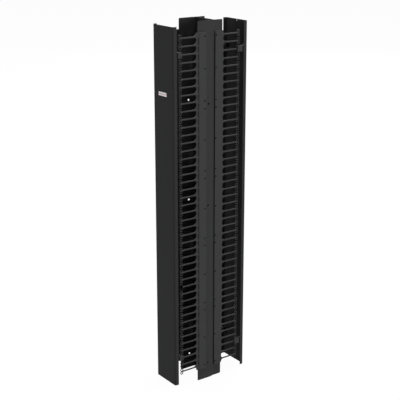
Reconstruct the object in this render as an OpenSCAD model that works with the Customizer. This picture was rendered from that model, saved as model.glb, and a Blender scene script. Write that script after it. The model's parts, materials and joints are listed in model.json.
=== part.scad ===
// Double-sided vertical cable manager for server racks: a steel spine with four finger combs
// and a hinged channel cover at the front and at the rear.
// X runs across the width, Y from front to rear, Z up. The origin is on the floor, in the middle.

/* [Spine] */
// Height of the side panels, which stand on the floor
panel_h = 2134; // [2120:2:2300]
// Width over the outside of the side panels, in front of their joggle
body_w = 178; // [160:1:240]
// Depth of the side panels
panel_d = 172; // [160:1:180]
// Thickness of the panel steel
panel_t = 2; // [1.5:0.1:2.5]
// Radius of the panels' corners
panel_corner_r = 6; // [2:1:12]
// How far the rear part of each panel stands further in
joggle_in = 6; // [4:0.5:8]
// Depth position where the joggle starts
joggle_y = 5; // [0:1:6]
// Length of the joggle
joggle_len = 25; // [18:1:25]
// Diameter of the rack bolt holes in the side panels
bolt_hole_d = 11; // [7:0.5:14]
// Depth position of the rack bolt holes in the right panel
bolt_hole_y = -12; // [-23:1:-8]
// Depth position of the rack bolt holes in the left panel
left_bolt_hole_y = -22; // [-23:1:-8]
// How much lower the rack bolt holes are in the left panel
left_bolt_drop = 6; // [0:1:20]
// Height of the lower rack bolt holes in the right panel
lower_bolt_z = 99; // [60:1:200]
// Height of the middle rack bolt holes in the right panel
middle_bolt_z = 1085; // [900:1:1200]
// Height of the upper rack bolt holes in the right panel
upper_bolt_z = 1675; // [1500:1:1900]

/* [Web] */
// Thickness of the web steel
web_t = 2; // [1.5:0.1:2.5]
// Width of the flanges that join the web to the side panels
web_flange_w = 24; // [20:1:30]
// Width of a cable pass-through opening in the web
window_w = 100; // [70:1:110]
// Height of a cable pass-through opening
window_h = 120; // [80:1:160]
// Corner radius of a pass-through opening
window_r = 20; // [10:1:30]
// Wall of the edge trim inside an opening
trim_wall = 2.5; // [1.5:0.1:4]
// How far the trim's lip reaches over the front of the web
trim_lip_w = 6; // [4:0.5:9]
// Thickness of the trim's lips
trim_lip_t = 2.5; // [1.5:0.1:4]
// How far the trim's catch reaches over the back of the web
trim_catch_w = 1.5; // [0.5:0.1:3]
// Gap between a trim and the edge of its opening
trim_gap = 0.3; // [0.1:0.05:0.5]

/* [Combs] */
// Height of one rack unit, which is the pitch of the fingers
unit_h = 44.45; // [42:0.05:45]
// Height of the combs' lower ends above the floor
comb_base_z = 73; // [50:1:85]
// Least distance from the combs' upper ends to the top of the panels
comb_top_gap = 50; // [20:1:60]
// Distance of the front comb plates' inner edges from the middle of the depth
comb_inner_y = 31; // [31:1:36]
// Distance of the rear comb plates' inner edges from the middle of the depth
rear_comb_inner_y = 34; // [32:1:36]
// Width of the thick comb plate that lies on the side panel
comb_plate_w = 49; // [40:1:55]
// Thickness of the comb plate
comb_plate_t = 7; // [6:0.5:9]
// How far the front slot ends stand outside the panel edge
slot_overhang = 12; // [8:1:16]
// How far the rear slot ends stand outside the panel edge
rear_slot_overhang = 4; // [3:1:10]
// Thickness of the fingers across the width
finger_t = 5; // [4:0.5:5]
// Height of a finger's section
finger_h = 8; // [6:0.5:10]
// Radius of both corners at a rear slot's closed end
slot_r = 14; // [8:1:16]
// Radius of the lower corner at a front slot's closed end
front_low_r = 21; // [12:1:24]
// Radius of the upper corner at a front slot's closed end
front_high_r = 9.5; // [6:0.5:12]
// Width of the shallow relief behind each front slot
relief_w = 11.5; // [8:0.5:12]
// Depth of the relief
relief_d = 2.5; // [1:0.5:3]
// Corner radius of the relief
relief_r = 2.5; // [1:0.5:4]
// Distance of the relief from the slot's end
relief_edge = 4; // [3:0.5:6]
// Height of the rib between two reliefs
relief_rib = 11; // [8:1:16]
// How far the ribs' middles lie below the fingers' middles
relief_drop = 2.5; // [0:0.5:4]
// Distance from the front finger tips to the face of the front cover
front_tip_gap = 39; // [38:1:52]
// Distance from the rear finger tips to the face of the rear cover
rear_tip_gap = 47; // [38:1:57]
// Outside diameter of the two rings that form the head of a finger
head_w = 19.5; // [16:0.5:24]
// Height of the head over both rings
head_h = 38.5; // [34:0.5:41]
// Bevel on the upper and lower ends of a whole comb
comb_end_bevel = 3; // [1:0.5:5]
// Diameter of the two eyelets in a head
eyelet_d = 11.5; // [6:0.5:13]
// Distance between the two eyelets of a head
eyelet_pitch = 19; // [16:0.5:20]

/* [Screws] */
// Distance of the front comb screws from the comb plate's inner edge
comb_screw_inset = 9; // [7:0.5:12]
// Distance of the rear comb screws from the comb plate's inner edge
rear_screw_inset = 6; // [5.5:0.5:12]
// Diameter of the screw shanks
screw_d = 4.5; // [4:0.1:5]
// Diameter of the screw heads
screw_head_d = 9; // [8:0.1:10]
// Height of the screw heads
screw_head_h = 2.6; // [2:0.1:3]
// Width across the corners of the hexagon socket
screw_socket_d = 4; // [3:0.1:5]
// How far a comb screw reaches past the innermost sheet
screw_end = 4; // [2:0.5:6]
// How far a clip screw stops short of the clip's outer face
clip_screw_short = 0.4; // [0.2:0.1:0.8]
// How far the screw heads lie below the surface in their recesses
head_sink = 2; // [0.2:0.1:2.4]
// Gap round a screw shank in a clearance hole
screw_gap = 0.25; // [0.15:0.05:0.4]
// Gap round a screw head in its recess
head_gap = 0.4; // [0.2:0.1:0.8]
// Gap round a screw shank in a threaded hole
thread_gap = 0.05; // [0.02:0.01:0.1]

/* [Covers] */
// Overall depth over the faces of the two covers
cover_span = 504; // [500:1:560]
// Thickness of the cover steel
cover_t = 1.5; // [1:0.1:2]
// Depth of the cover's side flanges, face included
cover_flange = 25; // [20:0.5:25.5]
// Outside radius of the cover's bends
cover_r = 10; // [6:0.5:12]
// How far the covers stop short of the panel ends
cover_end_gap = 19; // [10:1:40]
// Diameter of the hole near the top of the rear cover
hang_hole_d = 6; // [4:0.5:8]
// Distance of that hole from the cover's top edge
hang_hole_drop = 7; // [6:0.5:12]
// Width of the label on the front cover
label_w = 76; // [50:1:90]
// Height of the label
label_h = 21; // [15:1:30]
// Thickness of the label
label_t = 0.3; // [0.2:0.1:0.6]
// Height of the label's middle above the floor
label_z = 1742; // [1600:1:1800]
// Offset of the label's middle to the left
label_offset = 6; // [0:1:20]

/* [Hinges and clips] */
// Diameter of the hinge pins
pin_d = 5; // [4:0.1:6]
// Running gap round a hinge pin
pin_gap = 0.05; // [0.02:0.01:0.1]
// Distance of a hinge pin's axis from the side of the cover
pin_inset = 8; // [7.5:0.1:9]
// Distance of a hinge pin's axis behind the face of the cover
pin_depth = 22; // [21:0.1:24]
// Outside diameter of the knuckle round a pin
knuckle_d = 10; // [9:0.1:10.4]
// Height of a cover clip
clip_h = 32; // [31:0.5:41]
// Width of a cover clip's block, inward from the side of the cover
clip_w = 20; // [18:0.5:24]
// How far the block reaches past the finger head
clip_back = 0.5; // [0:0.5:5]
// Distance from the pin's axis to the block
clip_reach = 10; // [9.5:0.1:11]
// Bevel on the block's outer corner, which the cover's flange passes
clip_bevel = 3; // [2:0.5:5]
// Thickness of the clip's leg and arm
clip_arm_t = 6; // [4:0.5:7]
// Gap round the finger head in the clip
clip_gap = 0.15; // [0.1:0.05:0.3]
// Fingers between a clip and the end of its comb
clip_finger = 2; // [1:1:3]
// Gap between a pin and the sides of the latch clip's mouth
mouth_gap = 0.2; // [0.15:0.05:0.4]
// Thickness of the pin brackets
bracket_t = 2; // [1.5:0.1:3]
// Width of a pin bracket on the cover
bracket_w = 14; // [10:1:20]
// Gap between the clip and the bracket's lugs
lug_gap = 0.3; // [0.2:0.1:1]
// Thickness of the lugs
lug_t = 3; // [2:0.1:3.4]
// Diameter of a pin's head
pin_head_d = 8; // [7:0.1:9]
// Height of a pin's head
pin_head_h = 1.2; // [0.8:0.1:1.4]

/* [Hidden] */
$fn = 48;
eps = 0.01;
segments = 5;
web_plates = 4;

half_w = body_w/2;
cover_half_w = half_w + comb_plate_t;
cover_y = cover_span/2;
cover_h = panel_h - 2*cover_end_gap;
rear_seat_x = half_w - joggle_in;
joggle_end_y = joggle_y + joggle_len;
web_y = joggle_end_y;
web_half_w = rear_seat_x - panel_t;
// The web is made of equal plates, one above the other, each with one opening
web_plate_h = panel_h/web_plates;
// Each comb takes as many whole fingers as the panels have room for
segment_fingers = floor((panel_h - comb_base_z - comb_top_gap)/(segments*unit_h));
segment_h = segment_fingers*unit_h;
comb_h = segments*segment_h;
slot_y = panel_d/2 + slot_overhang;
rear_slot_y = panel_d/2 + rear_slot_overhang;
front_tip_y = cover_y - front_tip_gap;
rear_tip_y = cover_y - rear_tip_gap;
comb_screw_y = comb_inner_y + comb_screw_inset;
rear_comb_screw_y = rear_comb_inner_y + rear_screw_inset;
// A moulding has a screw behind its first, its middle and its last finger
comb_screw_fingers = [0, floor((segment_fingers - 1)/2), segment_fingers - 1];
head_recess = screw_head_h + head_sink;
pin_x = cover_half_w - pin_inset;
pin_y = cover_y - pin_depth;
clip_front_y = pin_y - clip_reach;
clip_in_x = cover_half_w - clip_w;
// A clip holds one finger head, counted from the end of the comb
low_clip_z = comb_base_z + (clip_finger + 0.5)*unit_h;
high_clip_z = comb_base_z + comb_h - (clip_finger + 0.5)*unit_h;
lug_z = clip_h/2 + lug_gap;
bracket_h = 2*(lug_z + lug_t);
bracket_x = cover_half_w - cover_r;
pin_top = lug_z + lug_t;

// ---- helpers ----

// Extrudes a flat shape drawn in depth and height along X
module extrude_x(length) {
    rotate([90, 0, 90]) linear_extrude(length) children();
}

// Keeps a shape that is drawn in the right half, or mirrors it to the left
module on_side(side) {
    mirror([side < 0 ? 1 : 0, 0, 0]) children();
}

// Keeps a shape that is drawn at the rear, or mirrors it to the front
module on_end(end) {
    mirror([0, end < 0 ? 1 : 0, 0]) children();
}

module rod_x(d, x0, x1) {
    translate([x0, 0, 0]) rotate([0, 90, 0]) cylinder(d = d, h = x1 - x0);
}

module rounded_square(w, h, r) {
    square([w, h - 2*r], center = true);
    square([w - 2*r, h], center = true);
    for (x = [-1, 1], y = [-1, 1]) translate([x*(w/2 - r), y*(h/2 - r)]) circle(r);
}

clip_heights = [low_clip_z, high_clip_z];
bolt_heights = [lower_bolt_z, middle_bolt_z, upper_bolt_z];
comb_screw_heights = [for (i = [0:segments - 1], k = comb_screw_fingers)
    comb_base_z + i*segment_h + (k + 0.5)*unit_h];

// ---- spine ----

// Plan of a right-hand side panel, inset gives its inner or outer face
module panel_plan() {
    outer = [[half_w, -panel_d/2], [half_w, joggle_y], [rear_seat_x, joggle_end_y],
        [rear_seat_x, panel_d/2]];
    inner = [for (i = [3:-1:0]) outer[i] - [panel_t, 0]];
    polygon(concat(outer, inner));
}

// A side panel with its own position of the rack bolt holes
module side_panel(hole_y, drop) {
    difference() {
        intersection() {
            linear_extrude(panel_h) panel_plan();
            translate([0, 0, panel_h/2]) extrude_x(body_w)
                rounded_square(panel_d, panel_h, panel_corner_r);
        }
        for (z = bolt_heights)
            translate([0, hole_y, z - drop]) rod_x(bolt_hole_d, half_w - 2*panel_t, half_w + panel_t);
        for (z = comb_screw_heights) {
            translate([0, -comb_screw_y, z])
                rod_x(screw_d + 2*thread_gap, half_w - 2*panel_t, half_w + panel_t);
            translate([0, rear_comb_screw_y, z])
                rod_x(screw_d + 2*thread_gap, web_half_w - panel_t, half_w + panel_t);
        }
    }
}

module left_side_panel() {
    color([0.2, 0.2, 0.21]) on_side(-1) side_panel(left_bolt_hole_y, left_bolt_drop);
}

module right_side_panel() {
    color([0.2, 0.2, 0.21]) side_panel(bolt_hole_y, 0);
}

module web_plan() {
    translate([-web_half_w, web_y]) square([2*web_half_w, web_t]);
    for (s = [-1, 1])
        translate([s*(web_half_w - web_t/2), web_y + web_flange_w/2])
            square([web_t, web_flange_w], center = true);
}

module centre_web(index) {
    color([0.17, 0.17, 0.18])
    difference() {
        translate([0, 0, (index - 1)*web_plate_h]) linear_extrude(web_plate_h) web_plan();
        translate([0, web_y - 1, (index - 0.5)*web_plate_h]) rotate([-90, 0, 0])
            linear_extrude(web_t + 2) window_outline(0);
        for (s = [-1, 1], z = comb_screw_heights)
            on_side(s) translate([0, rear_comb_screw_y, z])
                rod_x(screw_d + 2*thread_gap, web_half_w - 2*web_t, web_half_w + web_t);
    }
}

// Outline of a pass-through opening, made larger or smaller all round
module window_outline(grow) {
    rounded_square(window_w + 2*grow, window_h + 2*grow, window_r + grow);
}

// Edge trim of an opening: a sleeve with a lip on the front of the web and a catch behind it
module trim_ring() {
    depth = 2*trim_lip_t + web_t;
    difference() {
        union() {
            linear_extrude(trim_lip_t) window_outline(trim_lip_w);
            linear_extrude(depth) window_outline(-trim_gap);
            translate([0, 0, trim_lip_t + web_t]) linear_extrude(trim_lip_t)
                window_outline(trim_catch_w);
        }
        translate([0, 0, -1]) linear_extrude(depth + 2) window_outline(-trim_gap - trim_wall);
    }
}

module pass_through_trim(index) {
    color([0.12, 0.12, 0.12])
    translate([0, web_y - trim_lip_t, (index - 0.5)*web_plate_h]) rotate([-90, 0, 0]) trim_ring();
}

// ---- combs ----

// Fills the corner between a slot's closed end and a finger
module slot_corner(r) {
    difference() {
        translate([-1, -1]) square(r + 1);
        translate([r, r]) circle(r);
    }
}

// Outline of one moulding's plate and fingers, without the heads
module finger_outline(inner_y, root_y, tip_y, low_r, high_r) {
    intersection() {
        translate([inner_y, 0]) square([tip_y - inner_y, segment_h]);
        union() {
            translate([inner_y, 0]) square([root_y - inner_y, segment_h]);
            for (k = [0:segment_fingers - 1]) translate([root_y, (k + 0.5)*unit_h]) {
                translate([-1, -finger_h/2])
                    square([tip_y - head_w/2 - root_y + 1, finger_h]);
                translate([0, finger_h/2]) slot_corner(low_r);
                mirror([0, 1]) translate([0, finger_h/2]) slot_corner(high_r);
            }
        }
    }
}

// Two rings one above the other, with a bar between them
module head_outline(tip_y) {
    ring_z = (head_h - head_w)/2;
    translate([tip_y - head_w/2, 0]) {
        square([finger_h, 2*ring_z], center = true);
        for (s = [-1, 1]) translate([0, s*ring_z]) circle(d = head_w);
    }
}

// Shallow reliefs behind the slots; the ends of the whole comb stay solid
module reliefs(index) {
    first = index == 1 ? 1 : 0;
    last = index == segments ? segment_fingers - 1 : segment_fingers;
    translate([finger_t - relief_d, slot_y - relief_edge - relief_w/2, 0])
        for (k = [first:last]) translate([0, 0, k*unit_h - relief_drop])
            extrude_x(relief_d + comb_plate_t)
                rounded_square(relief_w, unit_h - relief_rib, relief_r);
}

// One moulding, drawn at the right rear; seat_x is the panel face it lies on
module comb_segment(seat_x, index, front) {
    inner_y = front ? comb_inner_y : rear_comb_inner_y;
    root_y = front ? slot_y : rear_slot_y;
    tip_y = front ? front_tip_y : rear_tip_y;
    screw_y = front ? comb_screw_y : rear_comb_screw_y;
    translate([seat_x, 0, comb_base_z + (index - 1)*segment_h])
    difference() {
        union() {
            extrude_x(finger_t) {
                finger_outline(inner_y, root_y, tip_y, front ? front_low_r : slot_r,
                    front ? front_high_r : slot_r);
                for (k = [0:segment_fingers - 1])
                    translate([0, (k + 0.5)*unit_h]) head_outline(tip_y);
            }
            translate([0, inner_y, 0]) cube([comb_plate_t, comb_plate_w, segment_h]);
        }
        if (front) reliefs(index);
        for (k = comb_screw_fingers) translate([0, screw_y, (k + 0.5)*unit_h]) {
            rod_x(screw_d + 2*screw_gap, -1, comb_plate_t + 1);
            rod_x(screw_head_d + 2*head_gap, comb_plate_t - head_recess, comb_plate_t + 1);
        }
        for (k = [0:segment_fingers - 1], s = [-1, 1])
            translate([0, tip_y - head_w/2, (k + 0.5)*unit_h + s*eyelet_pitch/2])
                rod_x(eyelet_d, -1, finger_t + 1);
        // The first and the last moulding are bevelled at the ends of the comb
        for (z = concat(index == 1 ? [0] : [], index == segments ? [segment_h] : []))
            translate([0, root_y, z]) rod_x(2*comb_end_bevel, -1, finger_t + 1, $fn = 4);
    }
}

module front_comb(side, index) {
    color([0.24, 0.24, 0.25]) on_side(side) on_end(-1) comb_segment(half_w, index, true);
}

module rear_comb(side, index) {
    color([0.24, 0.24, 0.25]) on_side(side) comb_segment(rear_seat_x, index, false);
}

// A cap screw along X: under_x is the plane under its head, the shank runs to end_x
module screw_x(under_x, end_x) {
    way = under_x > end_x ? 1 : -1;
    length = abs(under_x - end_x);
    translate([under_x, 0, 0]) rotate([0, way*90, 0]) difference() {
        union() {
            cylinder(d = screw_head_d, h = screw_head_h);
            translate([0, 0, -length]) cylinder(d = screw_d, h = length + eps);
        }
        translate([0, 0, screw_head_h/2]) cylinder(d = screw_socket_d, h = screw_head_h, $fn = 6);
    }
}

// The screws of one comb; inner_x is the innermost sheet that they hold
module comb_screws(seat_x, screw_y, inner_x) {
    color([0.1, 0.1, 0.1])
    for (z = comb_screw_heights)
        translate([0, screw_y, z])
            screw_x(seat_x + comb_plate_t - head_recess, inner_x - screw_end);
}

module front_comb_screws(side) {
    on_side(side) on_end(-1) comb_screws(half_w, comb_screw_y, half_w - panel_t);
}

module rear_comb_screws(side) {
    on_side(side) comb_screws(rear_seat_x, rear_comb_screw_y, web_half_w - web_t);
}

// ---- clips ----

// Plan of a clip at the right rear: a block with a slot for the finger head, and a bent arm
// that carries the knuckle. The arm keeps out of the way of the cover's flange.
module clip_plan(seat_x, tip_y, latch) {
    back_y = tip_y - head_w - clip_back;
    difference() {
        union() {
            polygon([[clip_in_x, back_y], [cover_half_w, back_y],
                [cover_half_w, clip_front_y - clip_bevel],
                [cover_half_w - clip_bevel, clip_front_y], [clip_in_x, clip_front_y]]);
            translate([clip_in_x, clip_front_y - 1])
                square([clip_arm_t, pin_y + clip_arm_t/2 - clip_front_y + 1]);
            translate([clip_in_x, pin_y - clip_arm_t/2]) square([pin_x - clip_in_x, clip_arm_t]);
            translate([pin_x, pin_y]) circle(d = knuckle_d);
        }
        translate([seat_x - clip_gap, back_y - 1])
            square([finger_t + 2*clip_gap, tip_y + clip_gap - back_y + 1]);
        if (latch) {
            translate([pin_x, pin_y]) circle(d = pin_d + 2*mouth_gap);
            translate([pin_x - pin_d/2 - mouth_gap, pin_y]) square([pin_d + 2*mouth_gap, knuckle_d]);
        } else {
            translate([pin_x, pin_y]) circle(d = pin_d + 2*pin_gap);
        }
    }
}

module clip(seat_x, tip_y, z, latch) {
    color([0.22, 0.22, 0.23])
    translate([0, 0, z]) difference() {
        translate([0, 0, -clip_h/2]) linear_extrude(clip_h) clip_plan(seat_x, tip_y, latch);
        for (s = [-1, 1]) translate([0, tip_y - head_w/2, s*eyelet_pitch/2]) {
            rod_x(screw_d + 2*screw_gap, clip_in_x - 1, seat_x);
            rod_x(screw_d + 2*thread_gap, seat_x, cover_half_w + 1);
            rod_x(screw_head_d + 2*head_gap, clip_in_x - 1, clip_in_x + head_recess);
        }
    }
}

// The hinge is on the left, the latch on the right
module front_clip(z, latch) {
    on_side(latch ? 1 : -1) on_end(-1) clip(half_w, front_tip_y, z, latch);
}

module rear_clip(z, latch) {
    on_side(latch ? 1 : -1) clip(rear_seat_x, rear_tip_y, z, latch);
}

// The screws of the four clips at one end go through the eyelets into the clips' outer walls
module clip_screws(tip_y) {
    color([0.1, 0.1, 0.1])
    for (side = [-1, 1], z = clip_heights, s = [-1, 1])
        on_side(side) translate([0, tip_y - head_w/2, z + s*eyelet_pitch/2])
            screw_x(clip_in_x + head_recess, cover_half_w - clip_screw_short);
}

module front_clip_screws() {
    on_end(-1) clip_screws(front_tip_y);
}

module rear_clip_screws() {
    clip_screws(rear_tip_y);
}

// ---- covers ----

// Outline of a channel that opens towards the spine, inset from the outside of the cover
module channel_outline(inset) {
    w = cover_half_w - inset;
    r = cover_r - inset;
    root_y = cover_y - cover_flange - inset;
    translate([-w, root_y]) square([2*w, cover_y - cover_r - root_y]);
    translate([-w + r, root_y]) square([2*(w - r), cover_y - inset - root_y]);
    for (s = [-1, 1]) translate([s*(w - r), cover_y - cover_r]) circle(r);
}

module cover_shell() {
    translate([0, 0, cover_end_gap]) linear_extrude(cover_h) difference() {
        channel_outline(0);
        channel_outline(cover_t);
    }
}

module front_cover() {
    color([0.18, 0.18, 0.19]) on_end(-1) cover_shell();
}

module rear_cover() {
    color([0.18, 0.18, 0.19])
    difference() {
        cover_shell();
        translate([0, cover_y - 2*cover_t, panel_h - cover_end_gap - hang_hole_drop])
            rotate([-90, 0, 0]) cylinder(d = hang_hole_d, h = 4*cover_t);
    }
}

// Plan of a bracket's lug: it reaches from the cover's face to the pin
module lug_plan() {
    face_y = cover_y - cover_t;
    difference() {
        union() {
            polygon([[bracket_x - bracket_w, face_y], [bracket_x, face_y],
                [pin_x + knuckle_d/2, pin_y], [pin_x - knuckle_d/2, pin_y]]);
            translate([pin_x, pin_y]) circle(d = knuckle_d);
        }
        translate([pin_x, pin_y]) circle(d = pin_d + 2*pin_gap);
    }
}

// One bent bracket at the right rear, with a lug above and a lug below its clip
module pin_bracket() {
    for (s = [0, 1]) mirror([0, 0, s]) translate([0, 0, lug_z]) linear_extrude(lug_t) lug_plan();
    translate([bracket_x - bracket_w, cover_y - cover_t - bracket_t, -bracket_h/2])
        cube([bracket_w, bracket_t, bracket_h]);
}

module pin_brackets() {
    color([0.15, 0.15, 0.15])
    for (side = [-1, 1], z = clip_heights)
        on_side(side) translate([0, 0, z]) pin_bracket();
}

module front_pin_brackets() {
    on_end(-1) pin_brackets();
}

module rear_pin_brackets() {
    pin_brackets();
}

module hinge_pins() {
    color("silver")
    for (side = [-1, 1], z = clip_heights)
        on_side(side) translate([pin_x, pin_y, z]) {
            translate([0, 0, -pin_top]) cylinder(d = pin_d, h = 2*pin_top);
            translate([0, 0, pin_top]) cylinder(d = pin_head_d, h = pin_head_h);
        }
}

module front_hinge_pins() {
    on_end(-1) hinge_pins();
}

module rear_hinge_pins() {
    hinge_pins();
}

module cover_label() {
    color([0.93, 0.92, 0.91])
    translate([-label_offset - label_w/2, -cover_y - label_t, label_z - label_h/2])
        cube([label_w, label_t, label_h]);
}

// ---- assembly ----

left_side_panel();
right_side_panel();
for (i = [1:web_plates]) {
    centre_web(i);
    pass_through_trim(i);
}
for (i = [1:segments]) {
    front_comb(-1, i);
    front_comb(1, i);
    rear_comb(-1, i);
    rear_comb(1, i);
}
front_comb_screws(-1);  // front_left_comb_screws
front_comb_screws(1);  // front_right_comb_screws
rear_comb_screws(-1);  // rear_left_comb_screws
rear_comb_screws(1);  // rear_right_comb_screws
front_clip(high_clip_z, false);  // front_upper_hinge_clip
front_clip(low_clip_z, false);  // front_lower_hinge_clip
front_clip(high_clip_z, true);  // front_upper_latch_clip
front_clip(low_clip_z, true);  // front_lower_latch_clip
rear_clip(high_clip_z, false);  // rear_upper_hinge_clip
rear_clip(low_clip_z, false);  // rear_lower_hinge_clip
rear_clip(high_clip_z, true);  // rear_upper_latch_clip
rear_clip(low_clip_z, true);  // rear_lower_latch_clip
front_clip_screws();
rear_clip_screws();
front_cover();
rear_cover();
front_pin_brackets();
rear_pin_brackets();
front_hinge_pins();
rear_hinge_pins();
cover_label();
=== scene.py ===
# Vertical cable manager: finishes, rounded edges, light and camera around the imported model.
import json
import math

import bmesh
import bpy
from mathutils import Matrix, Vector


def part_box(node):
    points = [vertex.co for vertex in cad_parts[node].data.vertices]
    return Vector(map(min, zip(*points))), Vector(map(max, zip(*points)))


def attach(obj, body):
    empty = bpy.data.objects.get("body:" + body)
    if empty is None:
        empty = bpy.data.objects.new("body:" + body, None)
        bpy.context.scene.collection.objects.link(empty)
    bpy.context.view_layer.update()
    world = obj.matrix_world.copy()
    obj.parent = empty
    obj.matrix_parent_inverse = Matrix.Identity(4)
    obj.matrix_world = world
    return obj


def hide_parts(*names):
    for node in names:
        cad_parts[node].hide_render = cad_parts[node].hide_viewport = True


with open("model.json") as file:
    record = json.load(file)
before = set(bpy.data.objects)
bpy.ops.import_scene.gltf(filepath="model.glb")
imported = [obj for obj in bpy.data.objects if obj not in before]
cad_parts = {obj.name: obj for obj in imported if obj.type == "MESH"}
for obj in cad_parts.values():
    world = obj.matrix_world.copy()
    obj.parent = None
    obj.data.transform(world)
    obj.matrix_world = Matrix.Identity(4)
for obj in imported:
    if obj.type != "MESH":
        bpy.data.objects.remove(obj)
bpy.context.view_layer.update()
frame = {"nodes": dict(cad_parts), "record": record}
print("frame loaded:", len(frame["nodes"]), "nodes")
mm = 0.001

shot = {
    "position": (4.5015, -3.2573, 2.8104),
    "pitch": 17.172,   # degrees below the horizon
    "turn": 54.152,    # degrees round from the front
    "lens": 90.54,     # millimetres, as the sensor is
    "sensor": 36,
    "farthest": 200,   # metres
}


def addCamera():
    data = bpy.data.cameras.new("camera")
    data.lens = shot["lens"]
    data.sensor_width = shot["sensor"]
    data.clip_end = shot["farthest"]
    camera = bpy.data.objects.new("camera", data)
    camera.location = shot["position"]
    camera.rotation_euler = (math.radians(90 - shot["pitch"]), 0, math.radians(shot["turn"]))
    bpy.context.scene.collection.objects.link(camera)
    bpy.context.scene.camera = camera


addCamera()


def newMaterial(name):
    material = bpy.data.materials.new(name)
    material.use_nodes = True
    nodes = material.node_tree.nodes
    nodes.clear()
    shader = nodes.new("ShaderNodeBsdfPrincipled")
    output = nodes.new("ShaderNodeOutputMaterial")
    material.node_tree.links.new(shader.outputs["BSDF"], output.inputs["Surface"])
    return material, nodes, material.node_tree.links, shader


def newGroup(name, inputs, outputs):
    group = bpy.data.node_groups.new(name, "ShaderNodeTree")
    for direction, sockets in (("INPUT", inputs), ("OUTPUT", outputs)):
        for title, kind in sockets.items():
            group.interface.new_socket(title, in_out=direction, socket_type="NodeSocket" + kind)
    return group, group.nodes.new("NodeGroupInput"), group.nodes.new("NodeGroupOutput")


def addMath(nodes, links, operation, *values):
    node = nodes.new("ShaderNodeMath")
    node.operation = operation
    for socket, value in zip(node.inputs, values):
        if isinstance(value, (int, float)):
            socket.default_value = value
        else:
            links.new(value, socket)
    return node.outputs["Value"]


def addNoise(nodes, links, vector, scale, detail):
    node = nodes.new("ShaderNodeTexNoise")
    node.inputs["Detail"].default_value = detail
    links.new(vector, node.inputs["Vector"])
    links.new(scale, node.inputs["Scale"])
    return node.outputs["Fac"]


noise = {
    "middle": 0.5,   # the noise swings about this value
    "fineDetail": 2,
    "patchDetail": 3,
}


def makeGrainGroup():

    # a fine grain that varies height and tone, and soft patches that vary tone and gloss
    group, inlet, outlet = newGroup("surfaceGrain", {
        "Color": "Color", "Grain Scale": "Float", "Patch Scale": "Float",
        "Tone Spread": "Float", "Roughness": "Float", "Roughness Spread": "Float",
    }, {"Color": "Color", "Roughness": "Float", "Height": "Float"})
    nodes, links = group.nodes, group.links
    place = nodes.new("ShaderNodeTexCoord").outputs["Object"]
    fine = addNoise(nodes, links, place, inlet.outputs["Grain Scale"], noise["fineDetail"])
    patch = addNoise(nodes, links, place, inlet.outputs["Patch Scale"], noise["patchDetail"])
    speck = addMath(nodes, links, "SUBTRACT", fine, noise["middle"])
    drift = addMath(nodes, links, "SUBTRACT", patch, noise["middle"])
    sway = addMath(nodes, links, "ADD", speck, drift)
    tone = addMath(nodes, links, "MULTIPLY_ADD", sway, inlet.outputs["Tone Spread"], 1)
    shade = nodes.new("ShaderNodeVectorMath")
    shade.operation = "SCALE"
    links.new(inlet.outputs["Color"], shade.inputs[0])
    links.new(tone, shade.inputs["Scale"])
    rough = addMath(nodes, links, "MULTIPLY_ADD", drift, inlet.outputs["Roughness Spread"],
                    inlet.outputs["Roughness"])
    links.new(shade.outputs["Vector"], outlet.inputs["Color"])
    links.new(rough, outlet.inputs["Roughness"])
    links.new(fine, outlet.inputs["Height"])
    return group


grainGroup = makeGrainGroup()
grainDepth = 0.1*mm

# the two scales, grain and patch, are per metre; a bump of 0 leaves the surface smooth
finishes = {
    "spineCoat": {
        "color": (0.027, 0.0272, 0.028), "roughness": 0.55, "specular": 0.05, "metallic": 0,
        "grain": 1100, "patch": 4, "toneSpread": 0.16, "glossSpread": 0.12, "bump": 0.12,
    },
    "coverCoat": {
        "color": (0.026, 0.0262, 0.0268), "roughness": 0.5, "specular": 0.03, "metallic": 0,
        "grain": 1100, "patch": 3, "toneSpread": 0.16, "glossSpread": 0.12, "bump": 0.12,
    },
    "bracketCoat": {
        "color": (0.022, 0.022, 0.022), "roughness": 0.5, "specular": 0.12, "metallic": 0,
        "grain": 1100, "patch": 12, "toneSpread": 0.16, "glossSpread": 0.12, "bump": 0.10,
    },
    "combPlastic": {
        "color": (0.033, 0.0332, 0.034), "roughness": 0.55, "specular": 0.06, "metallic": 0,
        "grain": 1700, "patch": 9, "toneSpread": 0.14, "glossSpread": 0.12, "bump": 0.06,
    },
    "clipPlastic": {
        "color": (0.033, 0.0332, 0.034), "roughness": 0.55, "specular": 0.06, "metallic": 0,
        "grain": 1700, "patch": 30, "toneSpread": 0.14, "glossSpread": 0.12, "bump": 0.06,
    },
    "trimPlastic": {
        "color": (0.014, 0.014, 0.014), "roughness": 0.6, "specular": 0.15, "metallic": 0,
        "grain": 1500, "patch": 20, "toneSpread": 0.14, "glossSpread": 0.12, "bump": 0.08,
    },
    "screwSteel": {
        "color": (0.006, 0.006, 0.006), "roughness": 0.5, "specular": 0.03, "metallic": 0,
        "grain": 2500, "patch": 200, "toneSpread": 0.10, "glossSpread": 0.12, "bump": 0.04,
    },
    "pinSteel": {
        "color": (0.55, 0.55, 0.56), "roughness": 0.3, "specular": 0.5, "metallic": 1,
        "grain": 2500, "patch": 200, "toneSpread": 0.10, "glossSpread": 0.15, "bump": 0,
    },
}


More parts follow.
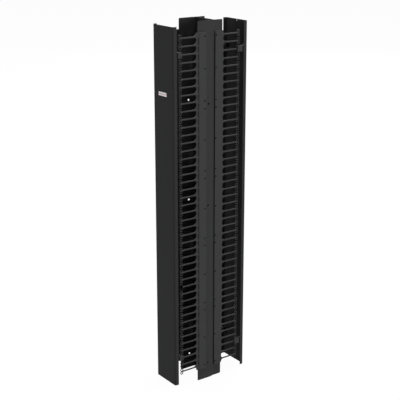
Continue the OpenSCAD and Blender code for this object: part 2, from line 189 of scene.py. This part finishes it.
def makeFinish(name):
    look = finishes[name]
    material, nodes, links, shader = newMaterial(name)
    grain = nodes.new("ShaderNodeGroup")
    grain.node_tree = grainGroup
    grain.inputs["Color"].default_value = (*look["color"], 1)
    grain.inputs["Grain Scale"].default_value = look["grain"]
    grain.inputs["Patch Scale"].default_value = look["patch"]
    grain.inputs["Tone Spread"].default_value = look["toneSpread"]
    grain.inputs["Roughness"].default_value = look["roughness"]
    grain.inputs["Roughness Spread"].default_value = look["glossSpread"]
    links.new(grain.outputs["Color"], shader.inputs["Base Color"])
    links.new(grain.outputs["Roughness"], shader.inputs["Roughness"])
    shader.inputs["Specular IOR Level"].default_value = look["specular"]
    shader.inputs["Metallic"].default_value = look["metallic"]
    if look["bump"] > 0:
        bump = nodes.new("ShaderNodeBump")
        bump.inputs["Strength"].default_value = look["bump"]
        bump.inputs["Distance"].default_value = grainDepth
        links.new(grain.outputs["Height"], bump.inputs["Height"])
        links.new(bump.outputs["Normal"], shader.inputs["Normal"])
    return material


label = {
    "paper": (0.84, 0.83, 0.82),
    "band": (0.56, 0.19, 0.20),
    "bandLow": 0.40,   # where the band starts and ends, as shares of the label's height
    "bandHigh": 0.58,
    "roughness": 0.35,
}


def makeLabelFilm():
    low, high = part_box("cover_label")
    height = high.z - low.z
    bandLow = low.z + label["bandLow"]*height
    bandHigh = low.z + label["bandHigh"]*height
    material, nodes, links, shader = newMaterial("labelFilm")
    place = nodes.new("ShaderNodeTexCoord").outputs["Object"]
    split = nodes.new("ShaderNodeSeparateXYZ")
    links.new(place, split.inputs["Vector"])
    above = addMath(nodes, links, "GREATER_THAN", split.outputs["Z"], bandLow)
    below = addMath(nodes, links, "LESS_THAN", split.outputs["Z"], bandHigh)
    band = addMath(nodes, links, "MULTIPLY", above, below)
    coat = nodes.new("ShaderNodeMix")
    coat.data_type = "RGBA"
    links.new(band, coat.inputs["Factor"])
    coat.inputs["A"].default_value = (*label["paper"], 1)
    coat.inputs["B"].default_value = (*label["band"], 1)
    links.new(coat.outputs["Result"], shader.inputs["Base Color"])
    shader.inputs["Roughness"].default_value = label["roughness"]
    return material


materials = {name: makeFinish(name) for name in finishes}
materials["labelFilm"] = makeLabelFilm()
print("finishes made:", ", ".join(materials))

slotFinish = {
    "spine_steel": "spineCoat", "cover_steel": "coverCoat", "bracket_steel": "bracketCoat",
    "comb_plastic": "combPlastic", "clip_plastic": "clipPlastic", "trim_plastic": "trimPlastic",
    "screw_steel": "screwSteel", "pin_steel": "pinSteel", "label_film": "labelFilm",
}
nodeSlot = {part["node"]: part["material_slot"] for part in frame["record"]["subparts"]}
nodeBody = {node: body for body, members in frame["record"]["behaviour"]["bodies"].items()
            for node in members}

# how every part is rounded: merge is in metres, and the angles are in degrees
rounding = {
    "merge": 1e-6,      # corners closer than this are one
    "flatAngle": 0.5,   # faces that turn less than this are one
    "sharpAngle": 30,   # edges that turn more than this are rounded
    "segments": 2,
    "smoothAngle": 40,  # edges that turn less than this are shaded smooth
}


def onlyActive(piece):
    bpy.ops.object.select_all(action="DESELECT")
    piece.select_set(True)
    bpy.context.view_layer.objects.active = piece


def dress(piece, node):
    piece.data.materials.clear()
    piece.data.materials.append(materials[slotFinish[nodeSlot[node]]])


def joinFlatFaces():
    bpy.ops.mesh.select_all(action="SELECT")
    bpy.ops.mesh.remove_doubles(threshold=rounding["merge"])
    bpy.ops.mesh.dissolve_limited(angle_limit=math.radians(rounding["flatAngle"]))


def weighSharpEdges(mesh, widthOf):

    # an edge's weight is its rounding as a share of the widest, which is returned in metres
    shape = bmesh.from_edit_mesh(mesh)
    weight = shape.edges.layers.float.new("bevel_weight_edge")
    sharp = math.radians(rounding["sharpAngle"])
    widths = {}
    for edge in shape.edges:
        if edge.is_manifold and edge.calc_face_angle() > sharp:
            start, end = (corner.co for corner in edge.verts)
            widths[edge] = widthOf((start + end)/2, (end - start).normalized())
    widest = max(widths.values())
    for edge, width in widths.items():
        edge[weight] = width/widest
    bmesh.update_edit_mesh(mesh)
    return widest


def roundedCopy(node, name, widthOf):

    # widthOf(middle, direction) gives the rounding of a sharp edge in metres
    piece = bpy.data.objects.new(name, frame["nodes"][node].data.copy())
    bpy.context.scene.collection.objects.link(piece)
    onlyActive(piece)
    bpy.ops.object.mode_set(mode="EDIT")
    joinFlatFaces()
    widest = weighSharpEdges(piece.data, widthOf)
    bpy.ops.object.mode_set(mode="OBJECT")
    bevel = piece.modifiers.new("rounding", "BEVEL")
    bevel.width = widest
    bevel.segments = rounding["segments"]
    bevel.limit_method = "WEIGHT"
    bevel.use_clamp_overlap = False
    bevel.harden_normals = False
    bpy.ops.object.modifier_apply(modifier="rounding")
    bpy.ops.object.shade_smooth_by_angle(angle=math.radians(rounding["smoothAngle"]))
    flatness = piece.modifiers.new("flatness", "WEIGHTED_NORMAL")
    flatness.keep_sharp = True
    bpy.ops.object.modifier_apply(modifier="flatness")
    dress(piece, node)
    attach(piece, nodeBody[node])
    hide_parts(node)


# rounding of the combs' edges, by the part of the moulding that they are on
combEdges = {
    "finger": 1.6*mm,
    "plate": 0.5*mm,
    "relief": 0.5*mm,
    "joint": 0.2*mm,
    "recess": 0.3*mm,
    "jointDepth": 0.1*mm,   # the joint's edges are this near the moulding's ends
    "fingersFrom": {"front": 95*mm, "rear": 87*mm},
    "plateTo": 81*mm,
    "upright": 0.99,        # least z in the direction of an upright edge
}


def combEdge(node):
    low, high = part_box(node)
    fingersFrom = combEdges["fingersFrom"][node.split("_")[0]]

    def width(middle, direction):
        if min(abs(middle.z - low.z), abs(middle.z - high.z)) < combEdges["jointDepth"]:
            return combEdges["joint"]
        if abs(middle.y) > fingersFrom:
            return combEdges["finger"]
        if abs(middle.y) > combEdges["plateTo"]:
            return combEdges["relief"]
        if abs(direction.z) > combEdges["upright"]:
            return combEdges["plate"]
        return combEdges["recess"]
    return width


# rounding of all edges of the other parts, by a word in their names
evenEdges = {
    "screws": 0.4*mm, "_clip": 0.8*mm, "side_panel": 0.4*mm, "centre_web": 0.3*mm,
    "pass_through_trim": 0.7*mm, "brackets": 0.4*mm, "pins": 0.3*mm, "_cover": 0.4*mm,
}


def evenEdge(width):
    return lambda middle, direction: width


for node in sorted(frame["nodes"]):
    word = next((word for word in evenEdges if word in node), None)
    if word:
        roundedCopy(node, node + "_rounded", evenEdge(evenEdges[word]))
    elif "_comb_" in node:
        roundedCopy(node, node + "_moulding", combEdge(node))
print("parts rounded")

# what is left is shown as it was packed
for node, packed in frame["nodes"].items():
    if not packed.hide_render:
        dress(packed, node)

white = (1, 1, 1, 1)
studio = {
    "target": (0, 0, 1.07),
    "floorSize": 60,
    "floorColor": (0.2, 0.2, 0.2, 1),
    "floorRoughness": 0.9,
    "floorShare": 0.94,   # share of the floor that is plain white to the eye
    "floorGlow": 1.03,
    "worldGlow": 0.05,    # to all but the eye, which sees a plain white world
    "lamps": {
        "side": {"place": (13.0, 5.5, 2.8), "size": 6.0, "power": 1450},
        "top": {"place": (0.0, 1.5, 15.0), "size": 7.0, "power": 6300},
        "front": {"place": (-3.0, -13.0, 3.0), "size": 6.0, "power": 600},
        "back": {"place": (-9.0, 8.0, 4.0), "size": 6.0, "power": 600},
    },
}


def addSeen(nodes, links):

    # 1 for what the camera sees, straight or mirrored, and 0 for the light on the model
    path = nodes.new("ShaderNodeLightPath")
    return addMath(nodes, links, "MAXIMUM", path.outputs["Is Camera Ray"],
                   path.outputs["Is Glossy Ray"])


def addFloor():
    bpy.ops.mesh.primitive_plane_add(size=studio["floorSize"])
    floor = bpy.context.active_object
    floor.name = "floor"
    material, nodes, links, shader = newMaterial("floorPaper")
    shader.inputs["Base Color"].default_value = studio["floorColor"]
    shader.inputs["Roughness"].default_value = studio["floorRoughness"]
    glow = nodes.new("ShaderNodeEmission")
    glow.inputs["Strength"].default_value = studio["floorGlow"]
    blend = nodes.new("ShaderNodeMixShader")
    share = addMath(nodes, links, "MULTIPLY", addSeen(nodes, links), studio["floorShare"])
    links.new(share, blend.inputs["Fac"])
    links.new(shader.outputs["BSDF"], blend.inputs[1])
    links.new(glow.outputs["Emission"], blend.inputs[2])
    output = next(node for node in nodes if node.type == "OUTPUT_MATERIAL")
    links.new(blend.outputs["Shader"], output.inputs["Surface"])
    floor.data.materials.append(material)


def addLamp(name):
    spec = studio["lamps"][name]
    data = bpy.data.lights.new(name, "AREA")
    data.size = spec["size"]
    data.energy = spec["power"]
    lamp = bpy.data.objects.new(name, data)
    lamp.location = spec["place"]
    toTarget = Vector(studio["target"]) - lamp.location
    lamp.rotation_euler = toTarget.to_track_quat("-Z", "Y").to_euler()
    bpy.context.scene.collection.objects.link(lamp)


def addBackground(nodes, strength):
    background = nodes.new("ShaderNodeBackground")
    background.inputs["Color"].default_value = white
    background.inputs["Strength"].default_value = strength
    return background.outputs["Background"]


def addWorld():
    world = bpy.data.worlds.new("studio")
    bpy.context.scene.world = world
    world.use_nodes = True
    nodes, links = world.node_tree.nodes, world.node_tree.links
    nodes.clear()
    blend = nodes.new("ShaderNodeMixShader")
    links.new(addSeen(nodes, links), blend.inputs["Fac"])
    links.new(addBackground(nodes, studio["worldGlow"]), blend.inputs[1])
    links.new(addBackground(nodes, 1), blend.inputs[2])
    output = nodes.new("ShaderNodeOutputWorld")
    links.new(blend.outputs["Shader"], output.inputs["Surface"])


addFloor()
for name in studio["lamps"]:
    addLamp(name)
addWorld()
bpy.context.scene.view_settings.view_transform = "Standard"
print("studio ready")
